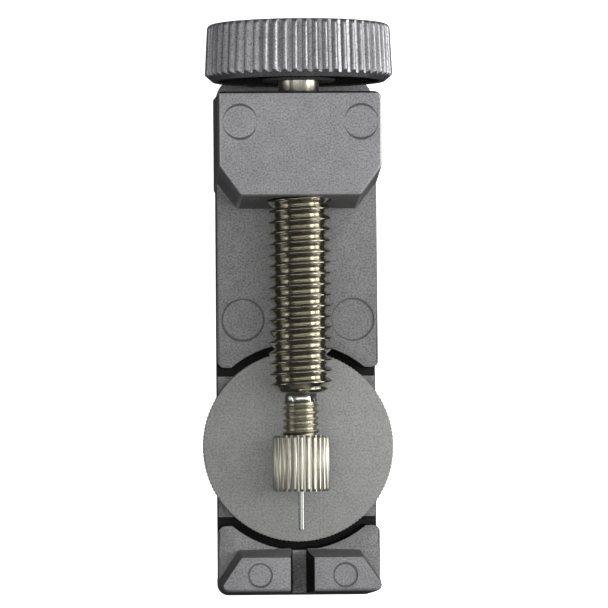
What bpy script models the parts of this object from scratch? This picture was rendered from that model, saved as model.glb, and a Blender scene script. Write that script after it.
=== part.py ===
"""Bracelet link-pin remover: a zinc casting with a lead screw, a pin chuck and a round screw-up platform.

Metres, +Z up. +Y runs from the slotted end stop to the knob. The origin is on the underside, at the
centre of the object's box. Every piece is shown at rest, with the platform screwed right down.
"""

import math

import bmesh
import bpy
from mathutils import Vector

MM = 0.001
GAP = 0.3 * MM  # between pieces that touch on the real object
SAME_SPOT = 0.001 * MM  # points this close are one point

# The casting
LENGTH = 74.8 * MM
REAR_END = -LENGTH / 2
KNOB_END = LENGTH / 2
BED_TOP = 9.5 * MM
BED_HALF_WIDTH = (10.6 * MM, 10.46 * MM)  # along its top: at the stop, at the block
BED_BOTTOM_HALF_WIDTH = (10.5 * MM, 10.5 * MM)
BED_EDGE = 0.15 * MM
BED_IN_STOP = 2.0 * MM  # how far inside the stop and the block the plain bar ends
BED_IN_BLOCK = 8.0 * MM

FOOT_TOP = 3.2 * MM  # the low lip behind the block
FOOT_HALF_WIDTH = 10.35 * MM
FOOT_END = 31.2 * MM
FOOT_CORNER_RADIUS = 3.0 * MM

BLOCK_TOP = 23.5 * MM
BLOCK_HALF_WIDTH = (10.68 * MM, 10.46 * MM)  # at the underside, at the top
BLOCK_BACK = (28.6 * MM, 28.0 * MM)
BLOCK_FRONT = (12.8 * MM, 14.62 * MM)
BLOCK_CHAMFER_DEPTH = (3.4 * MM, 3.8 * MM)
BLOCK_FRONT_HALF_WIDTH = (7.95 * MM, 7.75 * MM)
BLOCK_EDGE = 0.25 * MM

STOP_TOP = 20.0 * MM
STOP_LEVELS = (0.0, BED_TOP, STOP_TOP)
STOP_FRONT = (-31.17 * MM, -31.17 * MM, -31.9 * MM)
STOP_FRONT_HALF_WIDTH = (7.96 * MM, 7.96 * MM, 7.8 * MM)
STOP_SHOULDER = (-35.1 * MM, -35.16 * MM, -35.4 * MM)
STOP_HALF_WIDTH = (10.55 * MM, 10.65 * MM, 10.2 * MM)
STOP_REAR = (REAR_END, -36.85 * MM, -36.3 * MM)
STOP_CORNER_RADIUS = 1.5 * MM
STOP_EDGE = 0.3 * MM
SLOT_WIDTH = (1.9 * MM, 3.0 * MM)  # at its floor, at its mouth
SLOT_FLOOR = BED_TOP - 0.1 * MM

# The lead screw, all along Y at AXIS_HEIGHT
AXIS_HEIGHT = 18.0 * MM
THREAD_RADIUS = 4.1 * MM
THREAD_FRONT = -10.67 * MM
THREAD_BACK = 27.0 * MM
THREAD_CHAMFER = 1.0 * MM
BORE_CLEARANCE = 0.2 * MM
NECK_RADIUS = 2.2 * MM
NECK_SHOULDER = 0.1 * MM
NECK_LENGTH = 1.1 * MM
TIP_RADIUS = 2.45 * MM  # M5 x 0.8
TIP_SHOULDER = 0.25 * MM
TIP_FRONT = -20.4 * MM
SHANK_RADIUS = 2.75 * MM
SHANK_BACK = 35.7 * MM
SCREW_END_CHAMFER = 0.4 * MM

# The knob
KNOB_RADIUS = 12.15 * MM
KNOB_FAR_RADIUS = 11.87 * MM
KNOB_NEAR = 29.6 * MM
KNOB_RIM_START = 30.45 * MM
KNOB_CHAMFER_RADIUS = 11.3 * MM
KNOB_FAR = 37.0 * MM  # where the slightly domed end meets its rounded edge
KNOB_DOME_RADIUS = 5.0 * MM
KNOB_DOME_DROP = 0.08 * MM
KNOB_FAR_EDGE = ((1.1 * MM, 0), (0.3 * MM, 0.25 * MM), (0, 0.8 * MM))  # in from the rim, down
KNOB_NEAR_EDGE = 0.1 * MM
KNOB_DRAFT = 0.15 * MM  # over the hollow's depth
KNOB_RIDGES = 56
KNOB_RIDGE_DEPTH = 0.35 * MM
KNOB_HOLLOW_RADIUS = 10.45 * MM
KNOB_HOLLOW_FLOOR = 34.8 * MM
KNOB_HUB_RADIUS = 4.75 * MM

# The pin chuck and its pin
CHUCK_RADIUS = 3.7 * MM
CHUCK_BACK = -16.2 * MM
CHUCK_FRONT = -23.4 * MM
CHUCK_CHAMFER = 0.25 * MM
CHUCK_RIDGES = 26
CHUCK_RIDGE_DEPTH = 0.2 * MM
PIN_HEAD_RADIUS = 1.8 * MM
PIN_HEAD_BACK = TIP_FRONT - GAP
PIN_HEAD_LENGTH = 1.0 * MM
PIN_RADIUS = 0.4 * MM
PIN_TIP_CHAMFER = 0.1 * MM
PIN_TIP = -28.4 * MM

# The platform
PLATFORM_Y = -17.65 * MM
PLATFORM_RADIUS = 12.5 * MM
PLATFORM_THICKNESS = 4.2 * MM
PLATFORM_CHAMFER = 0.2 * MM
RECESS_FLOOR = 5.0 * MM
RECESS_RADIUS = 13.5 * MM
RECESS_HALF_LENGTH = 10.3 * MM
RECESS_CORNER_X = 9.6 * MM
RECESS_CORNER_RADIUS = 1.0 * MM
GROOVE_FLOOR = 2.0 * MM  # the narrow groove round the recess's floor
GROOVE_WIDTH = 1.05 * MM
ISLAND_HALF_WIDTH = 10.4 * MM
STEM_RADIUS = 3.0 * MM  # M6 x 1
STEM_BOTTOM = 0.4 * MM
STEM_IN_DISC = 2.0 * MM
STEM_CHAMFER = 0.4 * MM

OUTSIDE = 20.0 * MM  # how far a cutter runs past the casting's sides
OVERRUN = 1.0 * MM  # how far a cutter runs past the surface that it opens
ARC_STEPS = 6


def clear_scene():
    for obj in list(bpy.data.objects):
        bpy.data.objects.remove(obj, do_unlink=True)


def collection(name):
    made = bpy.data.collections.new(name)
    bpy.context.scene.collection.children.link(made)
    return made


def material(name, colour, roughness, metallic):
    made = bpy.data.materials.new(name)
    made.use_nodes = True
    shader = made.node_tree.nodes["Principled BSDF"]
    shader.inputs["Base Color"].default_value = (*colour, 1)
    shader.inputs["Roughness"].default_value = roughness
    shader.inputs["Metallic"].default_value = metallic
    made.diffuse_color = (*colour, 1)
    return made


def add_object(name, mesh, home, look=None):
    obj = bpy.data.objects.new(name, mesh)
    home.objects.link(obj)
    if look:
        mesh.materials.append(look)
    return obj


def mesh_object(name, bm, home, look=None):
    bmesh.ops.recalc_face_normals(bm, faces=bm.faces[:])
    mesh = bpy.data.meshes.new(name)
    bm.to_mesh(mesh)
    bm.free()
    return add_object(name, mesh, home, look)


def smooth(obj, angle=40):
    obj.data.shade_smooth()
    obj.data.set_sharp_from_angle(angle=math.radians(angle))


def bevel(obj, width, segments=2, angle=30):
    modifier = obj.modifiers.new("Edges", "BEVEL")
    modifier.width = width
    modifier.segments = segments
    modifier.limit_method = "ANGLE"
    modifier.angle_limit = math.radians(angle)


def boolean(obj, other, operation):
    modifier = obj.modifiers.new(other.name, "BOOLEAN")
    modifier.operation = operation
    modifier.solver = "EXACT"
    modifier.object = other


def helper(obj):
    obj.hide_render = True
    obj.display_type = "WIRE"
    return obj


def arc(centre, radius, start, end, steps=ARC_STEPS):
    """Points on a circle from one angle to another, in degrees."""
    angles = [math.radians(start + (end - start) * i / steps) for i in range(steps + 1)]
    return [(centre[0] + radius * math.cos(a), centre[1] + radius * math.sin(a)) for a in angles]


def mirrored(right_half):
    """A whole outline from its +X half."""
    return right_half + [(-x, y) for x, y in reversed(right_half)]


def loft(name, levels, home, look=None):
    """A solid through outlines of equal length, given as (height, outline) from the bottom up."""
    bm = bmesh.new()
    rings = [[bm.verts.new((x, y, height)) for x, y in outline] for height, outline in levels]
    for lower, upper in zip(rings, rings[1:]):
        for i, start in enumerate(lower):
            j = (i + 1) % len(lower)
            bm.faces.new((start, lower[j], upper[j], upper[i]))
    bm.faces.new(rings[0])
    bm.faces.new(rings[-1])
    return mesh_object(name, bm, home, look)


def cylinder(name, radius, start, end, home, segments=32):
    """A plain cylinder between two points."""
    length = (end - start).length
    bm = bmesh.new()
    bmesh.ops.create_cone(
        bm, cap_ends=True, segments=segments, radius1=radius, radius2=radius, depth=length
    )
    obj = mesh_object(name, bm, home)
    obj.location = (start + end) / 2
    obj.rotation_euler = (end - start).to_track_quat("Z", "Y").to_euler()
    return obj


def turned(name, profile, steps, home, look):
    """A solid of revolution about local Z. profile is (radius, height), down the outer side."""
    mesh = bpy.data.meshes.new(name)
    edges = [(i, i + 1) for i in range(len(profile) - 1)]
    mesh.from_pydata([(radius, 0, height) for radius, height in profile], edges, [])
    obj = add_object(name, mesh, home, look)
    modifier = obj.modifiers.new("Turn", "SCREW")
    modifier.axis = "Z"
    modifier.steps = steps
    modifier.render_steps = steps
    modifier.use_merge_vertices = True
    modifier.merge_threshold = SAME_SPOT
    smooth(obj)
    return obj


def knurled(name, profile, ridges, rim_radius, depth, home, look, closed=False):
    """A turned solid with straight ridges: from rim_radius out, every second column is pulled in."""
    bm = bmesh.new()
    points = [bm.verts.new((radius, 0, height)) for radius, height in profile]
    for start, end in zip(points, points[1:]):
        bm.edges.new((start, end))
    if closed:
        bm.edges.new((points[-1], points[0]))
    bmesh.ops.spin(
        bm,
        geom=bm.verts[:] + bm.edges[:],
        cent=(0, 0, 0),
        axis=(0, 0, 1),
        dvec=(0, 0, 0),
        angle=2 * math.pi,
        steps=2 * ridges,
        use_merge=True,
    )
    bmesh.ops.remove_doubles(bm, verts=bm.verts[:], dist=SAME_SPOT)
    for vert in bm.verts:
        radius = vert.co.xy.length
        column = round(math.atan2(vert.co.y, vert.co.x) * ridges / math.pi)
        if radius > rim_radius - SAME_SPOT and column % 2:
            vert.co.xy *= (radius - depth) / radius
    obj = mesh_object(name, bm, home, look)
    smooth(obj, 25)
    return obj


def along_screw(obj, carrier):
    """Lays a piece's own Z axis along +Y on the screw's centre line."""
    obj.parent = carrier
    obj.rotation_euler = (-math.pi / 2, 0, 0)


def bed_outline(half_width):
    """The plain bar between the end stop and the inside of the block."""
    near = REAR_END + BED_IN_STOP
    far = BLOCK_BACK[0] - BED_IN_BLOCK
    return mirrored([(half_width[0], near), (half_width[1], far)])


def foot_outline():
    """The low lip behind the block, which starts inside the bar and has rounded corners."""
    corner = FOOT_CORNER_RADIUS
    centre = (FOOT_HALF_WIDTH - corner, FOOT_END - corner)
    start = (FOOT_HALF_WIDTH, BLOCK_BACK[0] - BED_IN_BLOCK / 2)
    return mirrored([start, *arc(centre, corner, 0, 90)])


def block_outline(level):
    half_width = BLOCK_HALF_WIDTH[level]
    front = BLOCK_FRONT[level]
    right_half = [
        (BLOCK_FRONT_HALF_WIDTH[level], front),
        (half_width, front + BLOCK_CHAMFER_DEPTH[level]),
        (half_width, BLOCK_BACK[level]),
    ]
    return mirrored(right_half)


def stop_outline(level):
    """Narrow at its front, wide at its shoulders, with rounded corners on the end wall."""
    half_width = STOP_HALF_WIDTH[level]
    rear = STOP_REAR[level]
    corner = min(STOP_CORNER_RADIUS, 0.8 * (STOP_SHOULDER[level] - rear))
    right_half = [
        (STOP_FRONT_HALF_WIDTH[level], STOP_FRONT[level]),
        (half_width, STOP_SHOULDER[level]),
        *arc((half_width - corner, rear + corner), corner, 0, -90),
    ]
    return mirrored(right_half)


def round_part(length, radius):
    """The arc about the platform's centre, from where it meets a straight wall to the midline."""
    meeting = math.degrees(math.asin(length / radius))
    return arc((0, 0), radius, meeting, 90, 2 * ARC_STEPS)


def all_round(quarter):
    """A whole outline about the platform's centre from its +X +Y quarter, which ends on the midline."""
    back = quarter + [(-x, y) for x, y in reversed(quarter[:-1])]
    return [(x, y + PLATFORM_Y) for x, y in back + [(-x, -y) for x, y in back]]


def recess_outline():
    """A round pocket joined to a straight cut across the bed, whose corners are rounded off."""
    length = RECESS_HALF_LENGTH
    corner_centre = (RECESS_CORNER_X, length + RECESS_CORNER_RADIUS)
    quarter = [
        (OUTSIDE, length + RECESS_CORNER_RADIUS),
        *arc(corner_centre, RECESS_CORNER_RADIUS, 0, -90),
        *round_part(length, RECESS_RADIUS),
    ]
    return all_round(quarter)


def island_outline():
    """The recess's floor, which stands inside the groove."""
    length = RECESS_HALF_LENGTH - GROOVE_WIDTH
    return all_round([(ISLAND_HALF_WIDTH, length), *round_part(length, RECESS_RADIUS - GROOVE_WIDTH)])


def slot_outline(width):
    """The slot's section at one height, run past both faces of the stop."""
    near = REAR_END - OUTSIDE
    far = STOP_FRONT[0] + OVERRUN
    return [(-width / 2, near), (width / 2, near), (width / 2, far), (-width / 2, far)]


def make_base(home, cutters, look):
    base = loft(
        "base_frame",
        [(0, bed_outline(BED_BOTTOM_HALF_WIDTH)), (BED_TOP, bed_outline(BED_HALF_WIDTH))],
        home,
        look,
    )
    bevel(base, BED_EDGE)
    block = loft("block_shape", [(0, block_outline(0)), (BLOCK_TOP, block_outline(1))], cutters)
    bevel(block, BLOCK_EDGE, 3)
    stop = loft(
        "stop_shape", [(z, stop_outline(i)) for i, z in enumerate(STOP_LEVELS)], cutters
    )
    bevel(stop, STOP_EDGE)
    foot = loft("foot_shape", [(0, foot_outline()), (FOOT_TOP, foot_outline())], cutters)
    bevel(foot, STOP_EDGE)
    for shape in (block, stop, foot):
        boolean(base, helper(shape), "UNION")
    recess = recess_outline()
    pocket = loft("recess_cut", [(GROOVE_FLOOR, recess), (BED_TOP + OVERRUN, recess)], cutters)
    boolean(base, helper(pocket), "DIFFERENCE")
    island = island_outline()
    floor = loft("floor_shape", [(GROOVE_FLOOR - OVERRUN, island), (RECESS_FLOOR, island)], cutters)
    boolean(base, helper(floor), "UNION")
    for cutter in base_cutters(cutters):
        boolean(base, helper(cutter), "DIFFERENCE")
    return base


def base_cutters(home):
    widening = (SLOT_WIDTH[1] - SLOT_WIDTH[0]) / (STOP_TOP - SLOT_FLOOR)
    mouth = SLOT_WIDTH[1] + widening * OVERRUN
    return [
        loft(
            "slot_cut",
            [(SLOT_FLOOR, slot_outline(SLOT_WIDTH[0])), (STOP_TOP + OVERRUN, slot_outline(mouth))],
            home,
        ),
        cylinder(
            "screw_bore_cut",
            THREAD_RADIUS + BORE_CLEARANCE,
            Vector((0, BLOCK_FRONT[0] - OVERRUN, AXIS_HEIGHT)),
            Vector((0, BLOCK_BACK[0] + OVERRUN, AXIS_HEIGHT)),
            home,
            48,
        ),
        cylinder(
            "stem_hole_cut",
            STEM_RADIUS + GAP,
            Vector((0, PLATFORM_Y, -OVERRUN)),
            Vector((0, PLATFORM_Y, RECESS_FLOOR + OVERRUN)),
            home,
        ),
    ]


def make_screw(home, look):
    """Shank for the knob, main thread, neck and the thinner thread for the chuck, in one piece."""
    neck_back = THREAD_FRONT - NECK_SHOULDER
    neck_front = neck_back - NECK_LENGTH
    end_chamfer = SCREW_END_CHAMFER
    profile = [
        (0, SHANK_BACK),
        (SHANK_RADIUS - end_chamfer, SHANK_BACK),
        (SHANK_RADIUS, SHANK_BACK - end_chamfer),
        (SHANK_RADIUS, THREAD_BACK),
        (THREAD_RADIUS - end_chamfer, THREAD_BACK),
        (THREAD_RADIUS, THREAD_BACK - end_chamfer),
        (THREAD_RADIUS, THREAD_FRONT + THREAD_CHAMFER),
        (THREAD_RADIUS - THREAD_CHAMFER, THREAD_FRONT),
        (NECK_RADIUS, neck_back),
        (NECK_RADIUS, neck_front),
        (TIP_RADIUS, neck_front - TIP_SHOULDER),
        (TIP_RADIUS, TIP_FRONT + end_chamfer),
        (TIP_RADIUS - end_chamfer, TIP_FRONT),
        (0, TIP_FRONT),
    ]
    return turned("lead_screw", profile, 40, home, look)


def make_knob(home, look):
    """A wheel with a ridged rim, hollow on the side of the block, whose hub grips the screw's shank."""
    bore = SHANK_RADIUS + GAP
    bore_floor = SHANK_BACK + GAP
    profile = [
        (0, KNOB_END),
        (KNOB_DOME_RADIUS, KNOB_END - KNOB_DOME_DROP),
        *[(KNOB_FAR_RADIUS - inward, KNOB_FAR - drop) for inward, drop in KNOB_FAR_EDGE],
        (KNOB_RADIUS, KNOB_RIM_START),
        (KNOB_CHAMFER_RADIUS, KNOB_NEAR + KNOB_NEAR_EDGE),
        (KNOB_CHAMFER_RADIUS - KNOB_NEAR_EDGE, KNOB_NEAR),
        (KNOB_HOLLOW_RADIUS, KNOB_NEAR),
        (KNOB_HOLLOW_RADIUS - KNOB_DRAFT, KNOB_HOLLOW_FLOOR),
        (KNOB_HUB_RADIUS + KNOB_DRAFT, KNOB_HOLLOW_FLOOR),
        (KNOB_HUB_RADIUS, KNOB_NEAR),
        (bore, KNOB_NEAR),
        (bore, bore_floor),
        (0, bore_floor),
    ]
    return knurled(
        "thumb_knob", profile, KNOB_RIDGES, KNOB_FAR_RADIUS, KNOB_RIDGE_DEPTH, home, look
    )


def make_chuck(home, look):
    """A ridged sleeve nut with a pocket for the pin's head and a small hole in its nose."""
    thread_bore = TIP_RADIUS + GAP
    pocket = PIN_HEAD_RADIUS + GAP
    pocket_floor = PIN_HEAD_BACK - PIN_HEAD_LENGTH - GAP
    profile = [
        (thread_bore, CHUCK_BACK),
        (CHUCK_RADIUS - CHUCK_CHAMFER, CHUCK_BACK),
        (CHUCK_RADIUS, CHUCK_BACK - CHUCK_CHAMFER),
        (CHUCK_RADIUS, CHUCK_FRONT + CHUCK_CHAMFER),
        (CHUCK_RADIUS - CHUCK_CHAMFER, CHUCK_FRONT),
        (PIN_RADIUS + GAP, CHUCK_FRONT),
        (PIN_RADIUS + GAP, pocket_floor),
        (pocket, pocket_floor),
        (pocket, PIN_HEAD_BACK),
        (thread_bore, PIN_HEAD_BACK),
    ]
    return knurled(
        "pin_chuck", profile, CHUCK_RIDGES, CHUCK_RADIUS, CHUCK_RIDGE_DEPTH, home, look, closed=True
    )


def make_pin(home, look):
    """A straight pin with a flat head, which the chuck holds against the screw's end."""
    head_front = PIN_HEAD_BACK - PIN_HEAD_LENGTH
    profile = [
        (0, PIN_HEAD_BACK),
        (PIN_HEAD_RADIUS, PIN_HEAD_BACK),
        (PIN_HEAD_RADIUS, head_front),
        (PIN_RADIUS, head_front),
        (PIN_RADIUS, PIN_TIP + PIN_TIP_CHAMFER),
        (PIN_RADIUS - PIN_TIP_CHAMFER, PIN_TIP),
        (0, PIN_TIP),
    ]
    return turned("push_pin", profile, 20, home, look)


def make_platform(home, look):
    """The round platform, with a blind socket for its stem."""
    top = PLATFORM_THICKNESS
    edge = PLATFORM_CHAMFER
    socket = STEM_RADIUS + GAP
    socket_top = STEM_IN_DISC + GAP
    profile = [
        (0, top),
        (PLATFORM_RADIUS - edge, top),
        (PLATFORM_RADIUS, top - edge),
        (PLATFORM_RADIUS, edge),
        (PLATFORM_RADIUS - edge, 0),
        (socket, 0),
        (socket, socket_top),
        (0, socket_top),
    ]
    return turned("platform_disc", profile, 96, home, look)


def make_stem(home, look):
    """The stud under the platform, in heights above the platform's underside."""
    top = STEM_IN_DISC
    bottom = STEM_BOTTOM - (BED_TOP - PLATFORM_THICKNESS)
    profile = [
        (0, top),
        (STEM_RADIUS, top),
        (STEM_RADIUS, bottom + STEM_CHAMFER),
        (STEM_RADIUS - STEM_CHAMFER, bottom),
        (0, bottom),
    ]
    return turned("platform_stem", profile, 32, home, look)


def pivot(name, location, home):
    """An empty on a joint's axis, which carries the pieces that move there."""
    empty = bpy.data.objects.new(name, None)
    empty.location = location
    empty.empty_display_size = 5 * MM
    home.objects.link(empty)
    return empty


def main():
    clear_scene()
    home = collection("link_pin_remover")
    cutters = collection("cutters")
    cutters.hide_render = True
    zinc = material("cast_zinc", (0.21, 0.21, 0.225), 0.6, 0.7)
    nickel = material("nickel_steel", (0.66, 0.63, 0.55), 0.22, 1.0)

    make_base(home, cutters, zinc)
    screw_axis = pivot("screw_axis", (0, 0, AXIS_HEIGHT), home)
    for piece in (
        make_screw(home, nickel),
        make_knob(home, zinc),
        make_chuck(home, nickel),
        make_pin(home, nickel),
    ):
        along_screw(piece, screw_axis)
    platform_axis = pivot(
        "platform_axis", (0, PLATFORM_Y, BED_TOP - PLATFORM_THICKNESS), home
    )
    for piece in (make_platform(home, zinc), make_stem(home, nickel)):
        piece.parent = platform_axis


main()
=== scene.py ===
"""The looks of the bracelet link-pin remover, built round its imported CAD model.

Every CAD node is replaced by a finer piece of the same size: the casting gets soft edges and ejector
marks, the screws get real helical threads, and the knob, chuck and platform get their knurls.
"""

import math

import bmesh
import bpy
from mathutils import Matrix, Vector

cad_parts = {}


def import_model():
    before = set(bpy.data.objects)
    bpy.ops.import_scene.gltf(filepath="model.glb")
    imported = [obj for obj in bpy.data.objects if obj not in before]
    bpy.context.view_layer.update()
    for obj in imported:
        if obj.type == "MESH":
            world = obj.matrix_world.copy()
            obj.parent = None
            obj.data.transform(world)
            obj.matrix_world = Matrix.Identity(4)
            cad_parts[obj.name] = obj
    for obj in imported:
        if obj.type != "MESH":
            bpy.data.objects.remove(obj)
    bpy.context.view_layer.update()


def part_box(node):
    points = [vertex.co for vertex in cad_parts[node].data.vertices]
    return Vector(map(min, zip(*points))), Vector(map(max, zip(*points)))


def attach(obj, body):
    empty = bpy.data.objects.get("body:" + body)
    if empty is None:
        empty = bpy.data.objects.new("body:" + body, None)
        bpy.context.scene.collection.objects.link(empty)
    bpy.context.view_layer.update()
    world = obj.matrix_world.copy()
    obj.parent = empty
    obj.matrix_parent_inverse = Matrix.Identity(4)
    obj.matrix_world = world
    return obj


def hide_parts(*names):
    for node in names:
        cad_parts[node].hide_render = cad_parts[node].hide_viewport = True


MM = 0.001
TURN = 2 * math.pi
HAIR = 0.02 * MM  # kept clear of the CAD box and between pieces that touch

# The casting, where the frame's boxes don't say it
BED_HALF_WIDTH = (10.6 * MM, 10.46 * MM)  # along its top: at the stop, at the block
BED_BOTTOM_HALF_WIDTH = (10.5 * MM, 10.5 * MM)
BED_EDGE = 0.15 * MM
BED_IN_STOP = 2.0 * MM  # how far inside the stop and the block the plain bar ends
BED_IN_BLOCK = 8.0 * MM
FOOT_TOP = 3.2 * MM  # the low lip behind the block
FOOT_HALF_WIDTH = 10.35 * MM
FOOT_CORNER_RADIUS = 3.0 * MM
BLOCK_HALF_WIDTH = (10.68 * MM, 10.46 * MM)  # at the underside, at the top
BLOCK_BACK = (28.6 * MM, 28.0 * MM)
BLOCK_FRONT = (12.8 * MM, 14.62 * MM)
BLOCK_CHAMFER_DEPTH = (3.4 * MM, 3.8 * MM)
BLOCK_FRONT_HALF_WIDTH = (7.95 * MM, 7.75 * MM)
BLOCK_BACK_CORNERS = (1.0 * MM, 0.3 * MM)  # right, left
BLOCK_EDGE = 0.25 * MM
STOP_TOP = 20.0 * MM
STOP_FRONT = (-31.17 * MM, -31.17 * MM, -31.9 * MM)  # at the underside, the bed's top, the top
STOP_FRONT_HALF_WIDTH = (7.96 * MM, 7.96 * MM, 7.8 * MM)
STOP_SHOULDER = (-35.1 * MM, -35.16 * MM, -35.4 * MM)
STOP_HALF_WIDTH = (10.55 * MM, 10.65 * MM, 10.2 * MM)
STOP_REAR = (-37.38 * MM, -36.85 * MM, -36.3 * MM)
STOP_CORNER_RADIUS = 1.5 * MM
STOP_EDGE = 0.3 * MM
STOP_REAR_EDGE = 0.5 * MM
SLOT_WIDTH = (1.9 * MM, 3.0 * MM)  # at its floor, at its mouth
RECESS_FLOOR = 5.0 * MM
GROOVE_FLOOR = 2.0 * MM
GROOVE_WIDTH = 1.05 * MM
ISLAND_HALF_WIDTH = 10.4 * MM
RECESS_RADIUS = 13.5 * MM
RECESS_HALF_LENGTH = 10.3 * MM
RECESS_CORNER_X = 9.6 * MM
RECESS_CORNER_RADIUS = 1.0 * MM
CUT_EDGE = 0.2 * MM
CUT_EDGES_REACH = 15.2 * MM  # how far from the platform's centre the recess's top edges go
SLOT_SINK = 0.1 * MM  # how far the slot's floor lies below the bed's top
SLOT_OVERRUN = 0.6 * MM
OUTSIDE = 20 * MM  # far enough out for a cutter
HOLE_COLUMNS = 96

# Ejector marks: half spacing, y, radius
MARK_ON_BLOCK = (7.79 * MM, 24.09 * MM, 2.2 * MM)
MARK_ON_BED = (7.19 * MM, -1.05 * MM, 2.72 * MM)
MARK_ON_STOP = (5.49 * MM, -34.19 * MM, 1.5 * MM)
MARK_HALF_WIDTH = 0.51 * MM  # of the cutter, well above the surface
MARK_LIFT = 0.3 * MM
MARK_DEPTH = 0.15 * MM
# How faint each mark is, on the right and on the left: see ejector_mark
FAINT_ON_BLOCK = ((1.0, 2, 0), (0.95, 2, 0))
FAINT_ON_BED = ((0.8, 1, 180), (0.3, 1, 90))
FAINT_ON_STOP = ((0.5, 1, 200), (0.5, 1, 90))

# The material slots that faces are moved to
PAINTED_SHADE = 2  # on the casting, after plain and lighter edges: painted shade on cut walls, back edge
# On the casting, after those: a darker colour for the ejector marks' lines
DARK_LINE = 3
PAINTED_LIGHT = 1  # on the lead screw, after plain: a lighter copy of the plate, painted light
# A lighter copy again, for the neck: painted light
NECK_PAINTED_LIGHT = 2
IN_HOLLOW = 1  # on the knob, after plain: painted shade in the hollow

# Heights over which painted shade fades: the casting is darker below, then its own colour above
LOW_TONE_BELOW = 15 * MM
HIGH_TONE_ABOVE = 24 * MM

# Threads: pitch, and depth as a share of the pitch
MAIN_PITCH = 1.4 * MM
TIP_PITCH = 0.8 * MM
STEM_PITCH = 1.0 * MM
THREAD_DEPTH = 0.54
TIP_CREST = 2.45 * MM  # the thinner thread's outer radius
THREAD_SHAPE = (  # along one pitch from 0 to 1: how far down from the crest, 0, to the root, 1
    (0.00, 0.14),
    (0.05, 0.03),
    (0.10, 0.00),
    (0.15, 0.03),
    (0.20, 0.14),
    (0.32, 0.50),
    (0.44, 0.90),
    (0.49, 1.00),
    (0.58, 1.00),
    (0.64, 0.90),
    (0.82, 0.47),
)
THREAD_COLUMNS = 72
THREAD_FRONT = -10.67 * MM
THREAD_BACK = 27.0 * MM
THREAD_CHAMFER = 1.0 * MM  # at its front
THREAD_RUNOUT = 0.9 * MM  # the same at its back
NECK_RADIUS = 2.2 * MM
NECK_FRONT = -11.87 * MM
NECK_FILLET = 0.15 * MM
SHANK_RADIUS = 2.75 * MM
SHANK_UNDERCUT = (0.25 * MM, 0.3 * MM, 0.5 * MM)  # beside the thread: its depth, narrow length, length
SHANK_RIDGES = 36
SHANK_RIDGE_DEPTH = 0.14 * MM

# The knob
KNOB_NEAR = 29.6 * MM
KNOB_RIM_START = 30.45 * MM
KNOB_CHAMFER_RADIUS = 11.3 * MM
KNOB_FAR_RADIUS = 11.87 * MM
KNOB_FAR = 37.0 * MM
KNOB_RIDGES = 56
KNOB_RIDGE_DEPTH = 0.42 * MM
KNOB_HOLLOW_RADIUS = 10.45 * MM
KNOB_HOLLOW_FLOOR = 34.8 * MM
KNOB_HUB_RADIUS = 4.75 * MM
KNOB_NEAR_LIP = 0.12 * MM
KNOB_RIM_INSET = 0.75 * MM  # where the rim ends, short of KNOB_FAR
KNOB_FAR_EDGE = 0.6 * MM
KNOB_BORE_DEPTH = 5.9 * MM
COLUMNS_PER_RIDGE = 10

# The chuck, pin and platform
CHUCK_RIDGES = 26
CHUCK_RIDGE_DEPTH = 0.4 * MM
PIN_RADIUS = 0.4 * MM
PIN_HEAD_LENGTH = 1.0 * MM
PLATFORM_RIDGES = 150
PLATFORM_RIDGE_DEPTH = 0.1 * MM

# The looks: noise in features per metre, and how deep it dents the surface
GRAIN_SCALE = 4300
CLOUD_SCALE = 420
GRAIN_BUMP = (0.02 * MM, 0.8)  # distance, strength
SPOT_SCALE = 900
WAVE_SCALE = 2200
WAVE_DISTANCE = 0.012 * MM

# The picture
CAMERA_PLACE = (-26.4 * MM, -15.0 * MM, 666.5 * MM)
CAMERA_TARGET = (0.85 * MM, 1.0 * MM, 9.5 * MM)
CAMERA_LENS = 297.2
CAMERA_ROLL = -0.427  # degrees

# The lights: name, place, size (level, and at right angles to that), power
LIGHTING_BOXES = (  # they light the pieces, and aren't mirrored in them
    ("overhead", (0.08, 0.02, 1.25), (0.4, 1.0), 13.7),
    ("front", (0.1, -0.7, 1.1), (0.8, 0.5), 0.05),
    ("right_box", (0.70, 0.1, 0.47), (0.30, 1.0), 4.0),
    ("left_box", (-0.8, 0.1, 0.33), (0.22, 1.0), 1.1),
)
MIRRORED_BOXES = (  # they are only mirrored in the pieces
    ("right_strip", (0.70, 0.03, 0.47), (0.36, 0.26), 2.1),
    ("left_strip", (-0.8, 0.03, 0.38), (0.28, 0.26), 0.6),
    ("right_low", (0.75, 0.03, 0.1), (0.4, 0.26), 1.6),
    ("left_low", (-0.8, 0.03, 0.1), (0.4, 0.26), 0.2),
    ("band", (0.3, 0.03, 1.0), (0.2, 2.8), 5.0),
)
WORLD_STRENGTH = 0.03
FLOOR_GLOW = 0.93
FLOOR_HALF_WIDTH = 2.0


def look(name):
    """An empty node material: (material, nodes, links, Principled shader)."""
    made = bpy.data.materials.new(name)
    made.use_nodes = True
    tree = made.node_tree
    return made, tree.nodes, tree.links, tree.nodes["Principled BSDF"]


def noise(nodes, links, scale, detail, roughness):
    """A noise texture on the piece's own coordinates. scale is in features per metre."""
    where = nodes.new("ShaderNodeTexCoord")
    made = nodes.new("ShaderNodeTexNoise")
    made.inputs["Scale"].default_value = scale
    made.inputs["Detail"].default_value = detail
    made.inputs["Roughness"].default_value = roughness
    links.new(where.outputs["Object"], made.inputs["Vector"])
    return made.outputs["Fac"]


def raised(nodes, links):
    """0 up to LOW_TONE_BELOW, rising to 1 at HIGH_TONE_ABOVE: where the painted shade low down ends."""
    where = nodes.new("ShaderNodeTexCoord")
    apart = nodes.new("ShaderNodeSeparateXYZ")
    links.new(where.outputs["Object"], apart.inputs[0])
    made = nodes.new("ShaderNodeMapRange")
    made.inputs["From Min"].default_value = LOW_TONE_BELOW
    made.inputs["From Max"].default_value = HIGH_TONE_ABOVE
    links.new(apart.outputs["Z"], made.inputs["Value"])
    return made.outputs["Result"]


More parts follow.
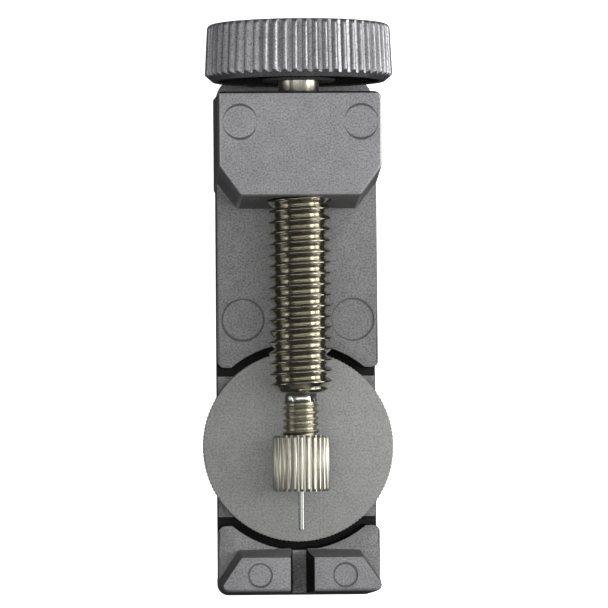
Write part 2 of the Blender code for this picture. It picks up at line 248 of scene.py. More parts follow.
def ramp(nodes, links, factor, stops):
    """A colour ramp. stops are (position, grey or colour)."""
    made = nodes.new("ShaderNodeValToRGB")
    elements = made.color_ramp.elements
    while len(elements) < len(stops):
        elements.new(0.5)
    for element, (position, value) in zip(elements, stops):
        colour = value if isinstance(value, tuple) else (value, value, value)
        element.position = position
        element.color = (*colour, 1)
    links.new(factor, made.inputs["Fac"])
    return made.outputs["Color"]


def mix(nodes, links, kind, factor, first, second):
    """Two colours mixed. factor is a number or an output."""
    made = nodes.new("ShaderNodeMix")
    made.data_type = "RGBA"
    made.blend_type = kind
    sockets = [s for s in made.inputs if s.enabled]
    for socket, value in zip(sockets, (factor, first, second)):
        if isinstance(value, bpy.types.NodeSocket):
            links.new(value, socket)
        elif isinstance(value, tuple):
            socket.default_value = (*value, 1)
        else:
            socket.default_value = value
    return next(s for s in made.outputs if s.enabled)


def bump(nodes, links, shader, height, distance, strength):
    """Makes height dent the shader's surface, by up to distance at full strength."""
    made = nodes.new("ShaderNodeBump")
    made.inputs["Distance"].default_value = distance
    made.inputs["Strength"].default_value = strength
    links.new(height, made.inputs["Height"])
    links.new(made.outputs["Normal"], shader.inputs["Normal"])


def zinc(
    name, colour, shaded_low_colour=None, spread=0.1, metallic=0.4, rough=(0.52, 0.7), specular=0.5
):
    """Shot-blasted zinc: a fine grain over soft cloudy patches.

    The low colour is for below the tops, and is painted shade: lower faces darker. spread is how
    uneven the colour is, and rough is the roughness in the grain's lightest and darkest spots.
    """
    made, nodes, links, shader = look(name)
    grain = noise(nodes, links, GRAIN_SCALE, 2, 0.55)
    cloud = noise(nodes, links, CLOUD_SCALE, 3, 0.6)
    specks = ramp(nodes, links, grain, ((0.34, 1 - 3 * spread), (0.5, 1 - spread), (0.66, 1.0)))
    patches = ramp(nodes, links, cloud, ((0.3, 1 - spread), (0.7, 1.0)))
    texture = mix(nodes, links, "MULTIPLY", 1.0, specks, patches)
    base = colour
    # Painted shade: the colour darkens towards the low colour below the tops.
    if shaded_low_colour:
        base = mix(nodes, links, "MIX", raised(nodes, links), shaded_low_colour, colour)
    tone = mix(nodes, links, "MULTIPLY", 1.0, base, texture)
    links.new(tone, shader.inputs["Base Color"])
    shine = ramp(nodes, links, grain, ((0.3, rough[1]), (0.7, rough[0])))
    links.new(shine, shader.inputs["Roughness"])
    shader.inputs["Metallic"].default_value = metallic
    shader.inputs["Specular IOR Level"].default_value = specular
    bump(nodes, links, shader, grain, *GRAIN_BUMP)
    return made


def nickel(name, colour, rough, stain, waviness, metallic=1.0):
    """Nickel plate, with small dull spots and a faint waviness.

    rough is the roughness between the spots and in them, and stain is how much darker they are.
    """
    made, nodes, links, shader = look(name)
    spots = noise(nodes, links, SPOT_SCALE, 4, 0.65)
    wave = noise(nodes, links, WAVE_SCALE, 2, 0.5)
    dull = tuple(c * (1 - stain) for c in colour)
    tone = ramp(nodes, links, spots, ((0.30, dull), (0.42, colour)))
    links.new(tone, shader.inputs["Base Color"])
    shine = ramp(nodes, links, spots, ((0.3, rough[1]), (0.55, rough[0])))
    links.new(shine, shader.inputs["Roughness"])
    shader.inputs["Metallic"].default_value = metallic
    bump(nodes, links, shader, wave, WAVE_DISTANCE, waviness)
    return made


def finished(name, bm, *materials):
    """An object in the scene, made from bm, which is used up."""
    bmesh.ops.recalc_face_normals(bm, faces=bm.faces[:])
    mesh = bpy.data.meshes.new(name)
    bm.to_mesh(mesh)
    bm.free()
    obj = bpy.data.objects.new(name, mesh)
    bpy.context.scene.collection.objects.link(obj)
    for material in materials:
        mesh.materials.append(material)
    return obj


def smooth(obj, angle):
    obj.data.shade_smooth()
    obj.data.set_sharp_from_angle(angle=math.radians(angle))


def weld(bm):
    bmesh.ops.remove_doubles(bm, verts=bm.verts[:], dist=0.002 * MM)
    bmesh.ops.dissolve_degenerate(bm, edges=bm.edges[:], dist=0.001 * MM)


def bake(obj):
    """Puts the modifiers' result in the object's mesh, without the slivers that booleans leave."""
    graph = bpy.context.evaluated_depsgraph_get()
    mesh = bpy.data.meshes.new_from_object(obj.evaluated_get(graph))
    obj.modifiers.clear()
    bm = bmesh.new()
    bm.from_mesh(mesh)
    weld(bm)
    bm.to_mesh(mesh)
    bm.free()
    obj.data = mesh


def remove(objects):
    for obj in objects:
        bpy.data.objects.remove(obj, do_unlink=True)


def bevel(obj, width, segments, by_weight=False, material=-1):
    modifier = obj.modifiers.new("Edges", "BEVEL")
    modifier.width = width
    modifier.segments = segments
    modifier.limit_method = "WEIGHT" if by_weight else "ANGLE"
    modifier.angle_limit = math.radians(30)
    modifier.material = material
    modifier.use_clamp_overlap = not by_weight


def boolean(obj, other, operation):
    modifier = obj.modifiers.new(other.name, "BOOLEAN")
    modifier.operation = operation
    modifier.solver = "EXACT"
    modifier.object = other


def arc(centre, radius, start, end, steps=8):
    """Points on a circle from one angle to another, in degrees."""
    angles = [math.radians(start + (end - start) * i / steps) for i in range(steps + 1)]
    return [(centre[0] + radius * math.cos(a), centre[1] + radius * math.sin(a)) for a in angles]


def mirrored(right_half):
    return right_half + [(-x, y) for x, y in reversed(right_half)]


def loft(name, levels, *materials):
    """A solid through outlines of equal length, given as (height, outline) from the bottom up."""
    bm = bmesh.new()
    rings = [[bm.verts.new((x, y, height)) for x, y in outline] for height, outline in levels]
    for lower, upper in zip(rings, rings[1:]):
        for i, start in enumerate(lower):
            j = (i + 1) % len(lower)
            bm.faces.new((start, lower[j], upper[j], upper[i]))
    bm.faces.new(rings[0])
    bm.faces.new(rings[-1])
    return finished(name, bm, *materials)


def rod(name, radius, start, end):
    """A plain cylinder between two points, for cutting holes."""
    bm = bmesh.new()
    length = (end - start).length
    bmesh.ops.create_cone(
        bm, cap_ends=True, segments=HOLE_COLUMNS, radius1=radius, radius2=radius, depth=length
    )
    turn = (end - start).to_track_quat("Z", "Y").to_matrix().to_4x4()
    bmesh.ops.transform(bm, matrix=Matrix.Translation((start + end) / 2) @ turn, verts=bm.verts[:])
    return finished(name, bm)


def ring_points(radius, height, columns, shape=None):
    """One row of a turned surface. shape(radius, height, angle) gives the radius there."""
    row = []
    for i in range(columns):
        angle = TURN * i / columns
        r = shape(radius, height, angle) if shape else radius
        row.append((r * math.cos(angle), r * math.sin(angle), height))
    return row


def add_rows(bm, rows, closed=False):
    """Quads between rows of points that go round the axis."""
    made = [[bm.verts.new(point) for point in row] for row in rows]
    pairs = list(zip(made, made[1:]))
    if closed:
        pairs.append((made[-1], made[0]))
    for upper, lower in pairs:
        for i in range(len(upper)):
            j = (i + 1) % len(upper)
            bm.faces.new((upper[i], upper[j], lower[j], lower[i]))


def add_turned(bm, profile, columns, shape=None, closed=False):
    add_rows(bm, [ring_points(r, h, columns, shape) for r, h in profile], closed)


def value_at(points, x):
    """Straight-line interpolation through (x, value) points."""
    for (x0, v0), (x1, v1) in zip(points, points[1:]):
        if x <= x1:
            share = max(0.0, (x - x0) / (x1 - x0))
            return v0 + (v1 - v0) * share
    return points[-1][1]


def add_thread(bm, outline, crest, pitch):
    """A right-hand thread round the axis, cut off by outline: (height, radius) points, bottom up.

    Each column of points is the one before it, moved along by its share of the pitch, so that the
    mesh's lines follow the helix. At the seam a row joins the one a whole pitch further on. Points past
    either end are held on the end's circle.
    """
    low, high = outline[0][0], outline[-1][0]
    per_turn = len(THREAD_SHAPE)
    turns = math.ceil((high - low) / pitch) + 2
    count = turns * per_turn + 1
    depth = THREAD_DEPTH * pitch
    columns = []
    for i in range(THREAD_COLUMNS):
        angle = TURN * i / THREAD_COLUMNS
        column = []
        for k in range(count):
            whole, step = divmod(k, per_turn)
            share, down = THREAD_SHAPE[step]
            height = low - pitch + (whole + share + i / THREAD_COLUMNS) * pitch
            height = min(max(height, low), high)
            radius = min(crest - down * depth, value_at(outline, height))
            if height in (low, high):
                radius = value_at(outline, height)
            point = (radius * math.cos(angle), radius * math.sin(angle), height)
            column.append(bm.verts.new(point))
        columns.append(column)
    for i, column in enumerate(columns):
        seam = i == THREAD_COLUMNS - 1
        following = columns[0] if seam else columns[i + 1]
        offset = per_turn if seam else 0
        for k in range(count - 1):
            k0 = min(k + offset, count - 1)
            k1 = min(k + 1 + offset, count - 1)
            if k0 == k1:
                bm.faces.new((column[k], following[k0], column[k + 1]))
            else:
                bm.faces.new((column[k], following[k0], following[k1], column[k + 1]))


def on_screw_axis(obj, height):
    """Turns a piece made round +Z to lie round +Y on the screw's centre line."""
    obj.data.transform(Matrix.Translation((0, 0, height)) @ Matrix.Rotation(-TURN / 4, 4, "X"))
    return obj


def ridges(count, depth, rim, duty=0.5):
    """A knurl for ring_points: rounded straight ridges, cut only where the radius passes the valleys.

    rim is the radius over the ridges, or a function that gives it at a height. duty is the share of
    each pitch that the ridge takes.
    """

    def shape(radius, height, angle):
        phase = (angle * count / TURN) % 1.0
        if phase < duty:
            fall = 1 - math.sin(math.pi * phase / duty) ** 0.6
        else:
            fall = 1.0
        crest = rim(height) if callable(rim) else rim
        return min(radius, crest - depth * fall)

    return shape


def place(piece, body, node):
    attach(piece, body)
    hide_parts(node)


def bed_outline(half_width):
    near, far = STOP_REAR[0] + BED_IN_STOP, BLOCK_BACK[0] - BED_IN_BLOCK
    return mirrored([(half_width[0], near), (half_width[1], far)])


def foot_outline(end):
    corner = FOOT_CORNER_RADIUS
    start = (FOOT_HALF_WIDTH, BLOCK_BACK[0] - BED_IN_BLOCK / 2)
    return mirrored([start, *arc((FOOT_HALF_WIDTH - corner, end - corner), corner, 0, 90, 16)])


def block_outline(level):
    half_width = BLOCK_HALF_WIDTH[level]
    back = BLOCK_BACK[level]
    front = BLOCK_FRONT[level]
    chamfer = BLOCK_FRONT_HALF_WIDTH[level]
    shoulder = front + BLOCK_CHAMFER_DEPTH[level]
    right, left = BLOCK_BACK_CORNERS
    return [
        (chamfer, front),
        (half_width, shoulder),
        *arc((half_width - right, back - right), right, 0, 90, 6),
        *arc((-half_width + left, back - left), left, 90, 180, 6),
        (-half_width, shoulder),
        (-chamfer, front),
    ]


def edge_steps(radius):
    """(down, inward) of points along a rounded top edge, from its outer side up."""
    steps = 6
    turns = [TURN / 4 * i / steps for i in range(steps + 1)]
    return [(radius * (1 - math.sin(a)), radius * (1 - math.cos(a))) for a in turns]


def stop_outline(level, inward=0.0):
    """inward is how far the rear wall stands in, near the stop's rounded rear edge."""
    half_width = STOP_HALF_WIDTH[level]
    rear = STOP_REAR[level] + inward
    corner = min(STOP_CORNER_RADIUS, (STOP_SHOULDER[level] - rear) * 0.8)
    return mirrored(
        [
            (STOP_FRONT_HALF_WIDTH[level], STOP_FRONT[level]),
            (half_width, STOP_SHOULDER[level]),
            *arc((half_width - corner, rear + corner), corner, 0, -90),
        ]
    )


def all_round(quarter, centre_y):
    """A whole outline from its +X +Y quarter, which ends on the midline."""
    back = quarter + [(-x, y) for x, y in reversed(quarter[:-1])]
    return [(x, y + centre_y) for x, y in back + [(-x, -y) for x, y in back]]


def meeting_angle(length, radius):
    return math.degrees(math.asin(length / radius))


def recess_outline(centre_y):
    """A round pocket joined to a straight cut across the bed, whose corners are rounded off."""
    length = RECESS_HALF_LENGTH
    corner_centre = (RECESS_CORNER_X, length + RECESS_CORNER_RADIUS)
    quarter = [
        (OUTSIDE, length + RECESS_CORNER_RADIUS),
        *arc(corner_centre, RECESS_CORNER_RADIUS, 0, -90),
        *arc((0, 0), RECESS_RADIUS, meeting_angle(length, RECESS_RADIUS), 90, 24),
    ]
    return all_round(quarter, centre_y)


def island_outline(centre_y):
    """The recess's floor, which stands inside a narrow deeper groove."""
    length = RECESS_HALF_LENGTH - GROOVE_WIDTH
    radius = RECESS_RADIUS - GROOVE_WIDTH
    round_part = arc((0, 0), radius, meeting_angle(length, radius), 90, 24)
    return all_round([(ISLAND_HALF_WIDTH, length), *round_part], centre_y)


def slot_outline(width):
    rear, front = STOP_REAR[0] - OUTSIDE, STOP_FRONT[0] + SLOT_OVERRUN
    half = width / 2
    return [(-half, rear), (half, rear), (half, front), (-half, front)]


def ejector_mark(name, spot, top, side, faint, materials):
    """A cutter for the fine circular line that an ejector pin leaves.

    faint is (share, lobes, angle): how much shallower the line is at each of that many places.
    """
    spacing, y, radius = spot
    share, lobes, angle = faint
    rows = []
    for offset, height in ((-1, MARK_LIFT), (1, MARK_LIFT), (0, -MARK_DEPTH)):
        row = []
        for x, y0, z in ring_points(radius + offset * MARK_HALF_WIDTH, height, 64):
            turn = math.atan2(y0, x) - math.radians(angle)
            fade = share * (0.5 + 0.5 * math.cos(lobes * turn))
            row.append((side * spacing + x, y + y0, top + (z * (1 - fade) if z < 0 else z)))
        rows.append(row)
    bm = bmesh.new()
    add_rows(bm, rows, closed=True)
    mark = finished(name, bm, *materials)
    # The line's faces take a darker colour.
    for face in mark.data.polygons:
        face.material_index = DARK_LINE
    return mark


def soften(obj, width, chosen):
    """Rounds the sharp edges whose middle is chosen."""
    sharp = 0.6  # radians
    bm = bmesh.new()
    bm.from_mesh(obj.data)
    layer = bm.edges.layers.float.new("bevel_weight_edge")
    for edge in bm.edges:
        middle = (edge.verts[0].co + edge.verts[1].co) / 2
        if len(edge.link_faces) == 2 and edge.calc_face_angle(0) > sharp and chosen(middle):
            edge[layer] = 1.0
    bm.to_mesh(obj.data)
    bm.free()
    bevel(obj, width, 2, by_weight=True)
    bake(obj)


def make_walls(low, high, bed_top, material, wear_and_sheen):
    """The block, the stop and the foot, which are joined to the bed."""
    block = loft(
        "block", [(low.z, block_outline(0)), (high.z, block_outline(1))], material, wear_and_sheen
    )
    # The block's and stop's rounded edges take slot 1: a lighter colour, partly wear and partly painted
    # highlight.
    bevel(block, BLOCK_EDGE, 4, material=1)
    levels = [(low.z, stop_outline(0)), (bed_top, stop_outline(1))]
    for drop, inward in edge_steps(STOP_REAR_EDGE):
        levels.append((STOP_TOP - drop, stop_outline(2, inward)))
    stop = loft("stop", levels, material, wear_and_sheen)
    bevel(stop, STOP_EDGE, 4, material=1)
    foot = loft(
        "foot", [(low.z, foot_outline(high.y)), (FOOT_TOP, foot_outline(high.y))], material, wear_and_sheen
    )
    bevel(foot, STOP_EDGE, 4)
    return [block, stop, foot]


def make_recess_cutter(platform_y, bed_top, material, shade_paint):
    """The pocket for the disc, down to the groove's floor. All the faces it cuts get painted shade."""
    outline = recess_outline(platform_y)
    levels = [(GROOVE_FLOOR, outline), (bed_top + MM, outline)]
    recess = loft("recess", levels, material, material, shade_paint)
    for face in recess.data.polygons:
        face.material_index = PAINTED_SHADE
    return recess


def make_slot_cutter(bed_top, material, shade_paint):
    """The pin's slot in the stop, wider at its mouth. Its walls get painted shade."""
    levels = [
        (bed_top - SLOT_SINK, slot_outline(SLOT_WIDTH[0])),
        (STOP_TOP + MM, slot_outline(SLOT_WIDTH[1] + 0.1 * MM)),
    ]
    slot = loft("slot", levels, material, material, shade_paint)
    for face in slot.data.polygons:
        if abs(face.normal.z) < 0.5:
            face.material_index = PAINTED_SHADE
    return slot


def make_holes(platform_y):
    """Cutters for the screw's bore and the stem's hole."""
    screw_low, screw_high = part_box("lead_screw")
    stem_low, stem_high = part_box("platform_stem")
    axis = (screw_low.z + screw_high.z) / 2
    bore = rod(
        "bore",
        (screw_high.z - screw_low.z) / 2 + 3 * HAIR,
        Vector((0, BLOCK_FRONT[0] - 2 * MM, axis)),
        Vector((0, BLOCK_BACK[0] + 2 * MM, axis)),
    )
    stem_hole = rod(
        "stem_hole",
        (stem_high.x - stem_low.x) / 2 + 3 * HAIR,
        Vector((0, platform_y, -MM)),
        Vector((0, platform_y, RECESS_FLOOR + MM)),
    )
    return [bore, stem_hole]


def cut_marks(base, block_top, bed_top, materials):
    """Two ejector marks on each of the casting's three tops."""
    marks = []
    for spot, top, faint in (
        (MARK_ON_BLOCK, block_top, FAINT_ON_BLOCK),
        (MARK_ON_BED, bed_top, FAINT_ON_BED),
        (MARK_ON_STOP, STOP_TOP, FAINT_ON_STOP),
    ):
        for side, how in zip((1, -1), faint):
            mark = ejector_mark(f"mark_{len(marks)}", spot, top, side, how, materials)
            boolean(base, mark, "DIFFERENCE")
            marks.append(mark)
    bake(base)
    remove(marks)


def darken_back_edge(base, top):
    """Paints shade on the block's rear top edge, below the flat top itself."""
    for face in base.data.polygons:
        at_top = face.center.z > top - BLOCK_EDGE - HAIR
        at_back = face.center.y > BLOCK_BACK[1] - BLOCK_EDGE
        if at_top and at_back and face.normal.z < 0.99:
            face.material_index = PAINTED_SHADE


def make_casting(material, wear_and_sheen, shade_paint, dark_line):
    """The base: bed, screw block and slotted end stop in one casting."""
    materials = (material, wear_and_sheen, shade_paint, dark_line)
    low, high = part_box("base_frame")
    disc_low, disc_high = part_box("platform_disc")
    bed_top = disc_high.z
    platform_y = (disc_low.y + disc_high.y) / 2

    levels = [(low.z, bed_outline(BED_BOTTOM_HALF_WIDTH)), (bed_top, bed_outline(BED_HALF_WIDTH))]
    base = loft("casting", levels, *materials)
    bevel(base, BED_EDGE, 4)
    walls = make_walls(low, high, bed_top, material, wear_and_sheen)
    recess = make_recess_cutter(platform_y, bed_top, material, shade_paint)
    cutters = [make_slot_cutter(bed_top, material, shade_paint), *make_holes(platform_y)]
    island = island_outline(platform_y)
    floor = loft("floor", [(GROOVE_FLOOR - MM, island), (RECESS_FLOOR, island)], material)
    for wall in walls:
        boolean(base, wall, "UNION")
    boolean(base, recess, "DIFFERENCE")
    boolean(base, floor, "UNION")
    for cutter in cutters:
        boolean(base, cutter, "DIFFERENCE")
    bake(base)
    remove([*walls, recess, floor, *cutters])
    cut_marks(base, high.z, bed_top, materials)

    def on_a_cut_edge(point):
        beside_slot = abs(point.x) < SLOT_WIDTH[1] / 2 + 0.2 * MM
        on_slot = beside_slot and point.y < STOP_FRONT[0] + 0.3 * MM
        away = (point.xy - Vector((0, platform_y))).length
        on_recess = abs(point.z - bed_top) < 0.05 * MM and away < CUT_EDGES_REACH
        return on_slot or on_recess

    soften(base, CUT_EDGE, on_a_cut_edge)
    darken_back_edge(base, high.z)
    smooth(base, 28)
    place(base, "base", "base_frame")


def make_lead_screw(material, painted_light, neck_painted_light):
    """Knurled shank, main thread, neck and the chuck's thinner thread."""
    low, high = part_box("lead_screw")
    axis = (low.z + high.z) / 2
    crest = (high.z - low.z) / 2
    tip = TIP_CREST
    shank_chamfer = 0.4 * MM
    tip_chamfer = 0.5 * MM
    undercut_depth, undercut_narrow, undercut_length = SHANK_UNDERCUT
    shank = [
        (0, high.y),
        (SHANK_RADIUS - shank_chamfer, high.y),
        (SHANK_RADIUS, high.y - shank_chamfer),
        (SHANK_RADIUS, THREAD_BACK + undercut_length),
        (SHANK_RADIUS - undercut_depth, THREAD_BACK + undercut_narrow),
        (SHANK_RADIUS - undercut_depth, THREAD_BACK),
        (crest - THREAD_RUNOUT, THREAD_BACK),
    ]
    main_thread = [
        (THREAD_FRONT, crest - THREAD_CHAMFER),
        (THREAD_FRONT + THREAD_CHAMFER, crest),
        (THREAD_BACK - THREAD_RUNOUT, crest),
        (THREAD_BACK, crest - THREAD_RUNOUT),
    ]
    neck = [
        (crest - THREAD_CHAMFER, THREAD_FRONT),
        (NECK_RADIUS + NECK_FILLET, THREAD_FRONT),
        (NECK_RADIUS, THREAD_FRONT - NECK_FILLET),
        (NECK_RADIUS, NECK_FRONT),
    ]
    tip_thread = [
        (low.y, tip - tip_chamfer),
        (low.y + tip_chamfer, tip),
        (NECK_FRONT - 0.3 * MM, tip),
        (NECK_FRONT, NECK_RADIUS),
    ]
    knurl = ridges(SHANK_RIDGES, SHANK_RIDGE_DEPTH, SHANK_RADIUS)

    def shank_shape(radius, height, angle):
        return knurl(radius, height, angle) if height > THREAD_BACK + 0.1 * MM else radius

    bm = bmesh.new()
    add_turned(bm, shank, THREAD_COLUMNS, shank_shape)
    add_thread(bm, main_thread, crest, MAIN_PITCH)
    add_turned(bm, neck, THREAD_COLUMNS)
    add_thread(bm, tip_thread, tip, TIP_PITCH)
    add_turned(bm, [(tip - tip_chamfer, low.y), (0, low.y)], THREAD_COLUMNS)
    weld(bm)
    # The shank and the chuck's thread take a lighter copy of the plate, and the neck a lighter one
    # still: painted light.
    for face in bm.faces:
        along = face.calc_center_median().z
        if along < THREAD_FRONT or along > THREAD_BACK:
            face.material_index = PAINTED_LIGHT
        if NECK_FRONT < along < THREAD_FRONT - 0.1 * MM:
            face.material_index = NECK_PAINTED_LIGHT
    screw = on_screw_axis(finished("screw", bm, material, painted_light, neck_painted_light), axis)
    smooth(screw, 50)
    place(screw, "spindle", "lead_screw")


def line(start, end, steps):
    """Points along a straight line of (radius, height) after its start."""
    points = []
    for i in range(1, steps + 1):
        share = i / steps
        points.append(tuple(a + (b - a) * share for a, b in zip(start, end)))
    return points


def knob_outside(radius, back):
    """The knob's profile from the middle of its far face to its near rim."""
    near = KNOB_CHAMFER_RADIUS, KNOB_NEAR + KNOB_NEAR_LIP
    rim_start = radius, KNOB_RIM_START
    rim_end = KNOB_FAR_RADIUS, KNOB_FAR - KNOB_RIM_INSET
    centre = KNOB_FAR_RADIUS - KNOB_FAR_EDGE
    edge_rise = 0.7 * MM
    edge = [
        (centre + KNOB_FAR_EDGE * math.cos(a), KNOB_FAR - KNOB_RIM_INSET + edge_rise * math.sin(a))
        for a in (TURN / 4 * i / 6 for i in range(1, 7))
    ]
    dome = [
        (9.5 * MM, KNOB_FAR + 0.08 * MM),
        (7 * MM, KNOB_FAR + 0.2 * MM),
        (4 * MM, back - 0.08 * MM),
        (1.5 * MM, back - 0.01 * MM),
        (0, back),
    ]
    chamfer = [near, *line(near, rim_start, 12)]
    from_near = [*chamfer, *line(rim_start, rim_end, 8), *edge, *dome]
    return [*reversed(from_near), (KNOB_CHAMFER_RADIUS - KNOB_NEAR_LIP, KNOB_NEAR)]


def knob_inside(bore):
    """The hollow, the hub in its middle and the blind bore for the shank, from the near rim in."""
    return [
        (KNOB_HOLLOW_RADIUS + 0.1 * MM, KNOB_NEAR),
        (KNOB_HOLLOW_RADIUS, KNOB_NEAR + 0.1 * MM),
        (KNOB_HOLLOW_RADIUS - 0.15 * MM, KNOB_HOLLOW_FLOOR - 0.4 * MM),
        (KNOB_HOLLOW_RADIUS - 0.55 * MM, KNOB_HOLLOW_FLOOR),
        (KNOB_HUB_RADIUS + 0.45 * MM, KNOB_HOLLOW_FLOOR),
        (KNOB_HUB_RADIUS + 0.15 * MM, KNOB_HOLLOW_FLOOR - 0.3 * MM),
        (KNOB_HUB_RADIUS, KNOB_NEAR + 0.25 * MM),
        (KNOB_HUB_RADIUS - 0.2 * MM, KNOB_NEAR),
        (bore + 0.2 * MM, KNOB_NEAR),
        (bore, KNOB_NEAR + 0.2 * MM),
        (bore, KNOB_NEAR + KNOB_BORE_DEPTH),
        (0, KNOB_NEAR + KNOB_BORE_DEPTH),
    ]


def make_knob(material, dark):
    """A cast wheel with a ridged rim, hollow towards the block."""
    low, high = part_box("thumb_knob")
    axis = (low.z + high.z) / 2
    radius = (high.z - low.z) / 2
    taper = [(KNOB_RIM_START, radius), (KNOB_FAR - KNOB_RIM_INSET, KNOB_FAR_RADIUS)]
    knurl = ridges(KNOB_RIDGES, KNOB_RIDGE_DEPTH, lambda height: value_at(taper, height), duty=0.62)

    def shape(r, height, angle):
        return knurl(r, height, angle) if r > KNOB_CHAMFER_RADIUS else r

    profile = knob_outside(radius, high.y) + knob_inside(SHANK_RADIUS + HAIR)
    bm = bmesh.new()
    add_turned(bm, profile, KNOB_RIDGES * COLUMNS_PER_RIDGE, shape)
    weld(bm)
    # The hollow's inside takes the dark material: painted shade.
    for face in bm.faces:
        middle = face.calc_center_median()
        in_hollow = KNOB_NEAR + 0.3 * MM < middle.z < KNOB_HOLLOW_FLOOR + HAIR
        if in_hollow and middle.xy.length < KNOB_HOLLOW_RADIUS + HAIR:
            face.material_index = IN_HOLLOW
    knob = on_screw_axis(finished("knob", bm, material, dark), axis)
    smooth(knob, 35)
    place(knob, "spindle", "thumb_knob")


def make_chuck(material):
    """A ridged sleeve nut whose ridges run out through both of its ends."""
    low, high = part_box("pin_chuck")
    axis = (low.z + high.z) / 2
    radius = (high.x - low.x) / 2
    tip = TIP_CREST + HAIR
    pin_low, pin_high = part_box("push_pin")
    head_back = pin_high.y
    head_radius = (pin_high.x - pin_low.x) / 2 + HAIR
    pocket_floor = head_back - PIN_HEAD_LENGTH - HAIR
    hole = PIN_RADIUS + HAIR
    lip = 0.3 * MM
    profile = [
        (tip + 0.2 * MM, high.y),
        (radius - lip, high.y),
        (radius, high.y - lip),
        (radius, low.y + lip),
        (radius - lip, low.y),
        (hole + 0.1 * MM, low.y),
        (hole, low.y + 0.1 * MM),
        (hole, pocket_floor),
        (head_radius, pocket_floor),
        (head_radius, head_back + HAIR),
        (tip, head_back + HAIR),
        (tip, high.y - 0.2 * MM),
    ]
    knurl = ridges(CHUCK_RIDGES, CHUCK_RIDGE_DEPTH, radius, duty=0.8)

    def shape(r, height, angle):
        return knurl(r, height, angle) if r > radius - 0.5 * MM else r

    bm = bmesh.new()
    add_turned(bm, profile, CHUCK_RIDGES * COLUMNS_PER_RIDGE, shape, closed=True)
    weld(bm)
    chuck = on_screw_axis(finished("chuck", bm, material), axis)
    smooth(chuck, 40)
    place(chuck, "spindle", "pin_chuck")


def make_pin(material):
    """A thin pin with a nail head, which the chuck holds."""
    low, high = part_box("push_pin")
    axis = (low.z + high.z) / 2
    head = (high.x - low.x) / 2
    tip_edge = 0.06 * MM
    profile = [
        (0, high.y),
        (head, high.y),
        (head, high.y - PIN_HEAD_LENGTH),
        (PIN_RADIUS, high.y - PIN_HEAD_LENGTH),
        (PIN_RADIUS, low.y + tip_edge),
        (PIN_RADIUS - tip_edge, low.y),
        (0, low.y),
    ]
    bm = bmesh.new()
    add_turned(bm, profile, 40)
    weld(bm)
    pin = on_screw_axis(finished("pin", bm, material), axis)
    smooth(pin, 40)
    place(pin, "pin_carriage", "push_pin")


def make_platform(material):
    """The round platform, with a fine knurl round its rim to turn it by."""
    low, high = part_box("platform_disc")
    radius = (high.x - low.x) / 2
    stem_low, stem_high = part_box("platform_stem")
    socket = (stem_high.x - stem_low.x) / 2 + HAIR
    edge = 0.18 * MM
    profile = [
        (0, high.z),
        (radius - edge * 1.6, high.z),
        (radius - edge * 0.5, high.z - edge * 0.4),
        (radius, high.z - edge * 1.4),
        (radius, low.z + edge),
        (radius - edge, low.z),
        (socket, low.z),
        (socket, stem_high.z + HAIR),
        (0, stem_high.z + HAIR),
    ]
    knurl = ridges(PLATFORM_RIDGES, PLATFORM_RIDGE_DEPTH, radius, duty=0.7)

    def shape(r, height, angle):
        return knurl(r, height, angle) if r > radius - 0.3 * MM else r

    bm = bmesh.new()
    add_turned(bm, profile, PLATFORM_RIDGES * 4, shape)
    weld(bm)
    disc = finished("platform", bm, material)
    disc.data.transform(Matrix.Translation((0, (low.y + high.y) / 2, 0)))
    smooth(disc, 40)
    place(disc, "platform", "platform_disc")


def make_stem(material):
    """The platform's threaded stud."""
    low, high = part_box("platform_stem")
    crest = (high.x - low.x) / 2
    end = 0.5 * MM
    bm = bmesh.new()
    add_turned(bm, [(0, high.z), (crest - end, high.z)], THREAD_COLUMNS)
    add_thread(
        bm,
        [(low.z, crest - end), (low.z + end, crest), (high.z - end, crest), (high.z, crest - end)],
        crest,
        STEM_PITCH,
    )
    add_turned(bm, [(crest - end, low.z), (0, low.z)], THREAD_COLUMNS)
    weld(bm)
    stem = finished("stem", bm, material)
    stem.data.transform(Matrix.Translation((0, (low.y + high.y) / 2, 0)))
    smooth(stem, 50)
    place(stem, "platform_post", "platform_stem")


def make_camera():
    data = bpy.data.cameras.new("camera")
    data.lens = CAMERA_LENS
    data.sensor_width = 36.0
    data.clip_start = 0.01
    data.clip_end = 10.0
    camera = bpy.data.objects.new("camera", data)
    bpy.context.scene.collection.objects.link(camera)
    camera.location = CAMERA_PLACE
    away = Vector(CAMERA_PLACE) - Vector(CAMERA_TARGET)
    up = Matrix.Rotation(math.radians(CAMERA_ROLL), 3, "Z") @ Vector((0, 1, 0))
    across = up.cross(away).normalized()
    true_up = away.cross(across).normalized()
    camera.rotation_mode = "QUATERNION"
    turn = Matrix((across, true_up, away.normalized())).transposed()
    camera.rotation_quaternion = turn.to_quaternion()
    bpy.context.scene.camera = camera


def make_light(name, place_at, size, power, diffuse=True, glossy=True):
    """A soft box aimed at the object."""
    data = bpy.data.lights.new(name, "AREA")
    data.shape = "RECTANGLE"
    data.size, data.size_y = size
    data.energy = power
    light = bpy.data.objects.new(name, data)
    light.visible_diffuse = diffuse
    light.visible_glossy = glossy
    bpy.context.scene.collection.objects.link(light)
    light.location = place_at
    away = Vector(place_at)
    light.rotation_mode = "QUATERNION"
    light.rotation_quaternion = away.to_track_quat("Z", "Y")


def make_floor():
    """A pale floor, which glows so that it stays pale."""
    half = FLOOR_HALF_WIDTH
    corners = [(-half, -half), (half, -half), (half, half), (-half, half)]
    bm = bmesh.new()
    bm.faces.new([bm.verts.new((x, y, -HAIR)) for x, y in corners])
    made, nodes, links, shader = look("floor_white")
    shader.inputs["Base Color"].default_value = (0.9, 0.9, 0.9, 1)
    shader.inputs["Roughness"].default_value = 0.9
    shader.inputs["Emission Color"].default_value = (1, 1, 1, 1)
    shader.inputs["Emission Strength"].default_value = FLOOR_GLOW
    floor = finished("floor", bm, made)
    floor.visible_diffuse = False
    floor.visible_glossy = False


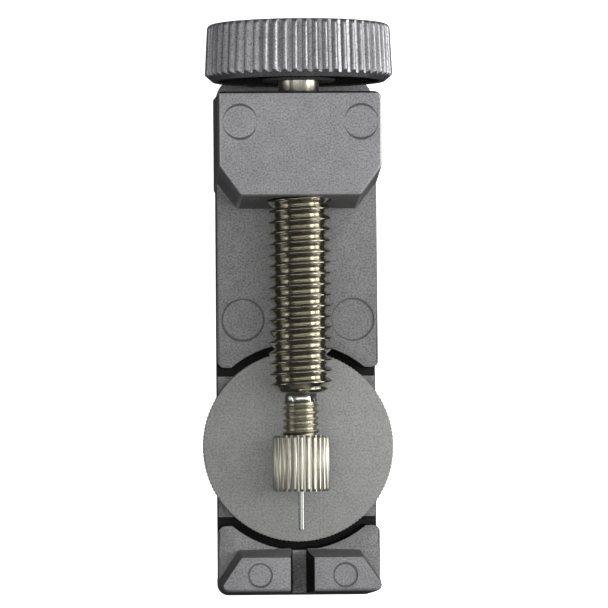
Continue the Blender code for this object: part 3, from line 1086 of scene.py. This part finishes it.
def make_studio():
    """The floor, a faint sky, boxes that light the pieces and others that they mirror."""
    make_floor()
    world = bpy.data.worlds.new("studio")
    world.use_nodes = True
    background = world.node_tree.nodes["Background"]
    background.inputs["Color"].default_value = (0.9, 0.95, 1.0, 1)
    background.inputs["Strength"].default_value = WORLD_STRENGTH
    bpy.context.scene.world = world
    for box in LIGHTING_BOXES:
        make_light(*box, glossy=False)
    for box in MIRRORED_BOXES:
        make_light(*box, diffuse=False)
    bpy.context.scene.view_settings.view_transform = "Standard"


def main():
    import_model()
    # Below the tops the casting takes a darker colour: painted shade, lower faces darker.
    casting_zinc = zinc(
        "casting_zinc", (0.367, 0.363, 0.382), shaded_low_colour=(0.268, 0.268, 0.268), spread=0.14
    )
    # Lighter, for the rounded edges: partly wear, partly painted highlight.
    wear_and_sheen_zinc = zinc(
        "wear_and_sheen_zinc", (0.58, 0.575, 0.57), spread=0.08, metallic=0.8, rough=(0.38, 0.52)
    )
    knob_zinc = zinc("knob_zinc", (0.43, 0.425, 0.44), spread=0.16, metallic=0.8, rough=(0.28, 0.4))
    # Painted shade: near-black, for the recess's cut faces, the slot's walls, the block's rear edge and
    # the knob's hollow
    shade_paint_zinc = zinc("shade_paint_zinc", (0.022, 0.022, 0.022), metallic=0.0, specular=0.05)
    # Darker, for the ejector marks' lines.
    dark_line_zinc = zinc("dark_line_zinc", (0.15, 0.15, 0.15), metallic=0.2)
    platform_zinc = zinc("platform_zinc", (0.335, 0.34, 0.33))
    plated = nickel("plated_steel", (0.60, 0.57, 0.47), (0.18, 0.24), stain=0.2, waviness=0.08)
    # A lighter copy of the plate for the shank and the chuck's thread: painted light.
    painted_light_plated = nickel(
        "painted_light_plated", (0.68, 0.65, 0.54), (0.28, 0.32), stain=0.15, waviness=0.05
    )
    pin_steel = nickel("pin_steel", (0.24, 0.25, 0.225), (0.16, 0.2), stain=0.1, waviness=0.02)
    # A lighter copy again, for the screw's neck: painted light.
    neck_painted_light_plated = nickel("neck_painted_light_plated", (0.76, 0.76, 0.70), (0.24, 0.28), stain=0.1, waviness=0.05)
    chuck_plated = nickel(
        "chuck_plated", (0.51, 0.49, 0.415), (0.29, 0.34), stain=0.2, waviness=0.05, metallic=0.9
    )

    make_casting(casting_zinc, wear_and_sheen_zinc, shade_paint_zinc, dark_line_zinc)
    make_lead_screw(plated, painted_light_plated, neck_painted_light_plated)
    make_knob(knob_zinc, shade_paint_zinc)
    make_chuck(chuck_plated)
    make_pin(pin_steel)
    make_platform(platform_zinc)
    make_stem(plated)
    make_camera()
    make_studio()


main()
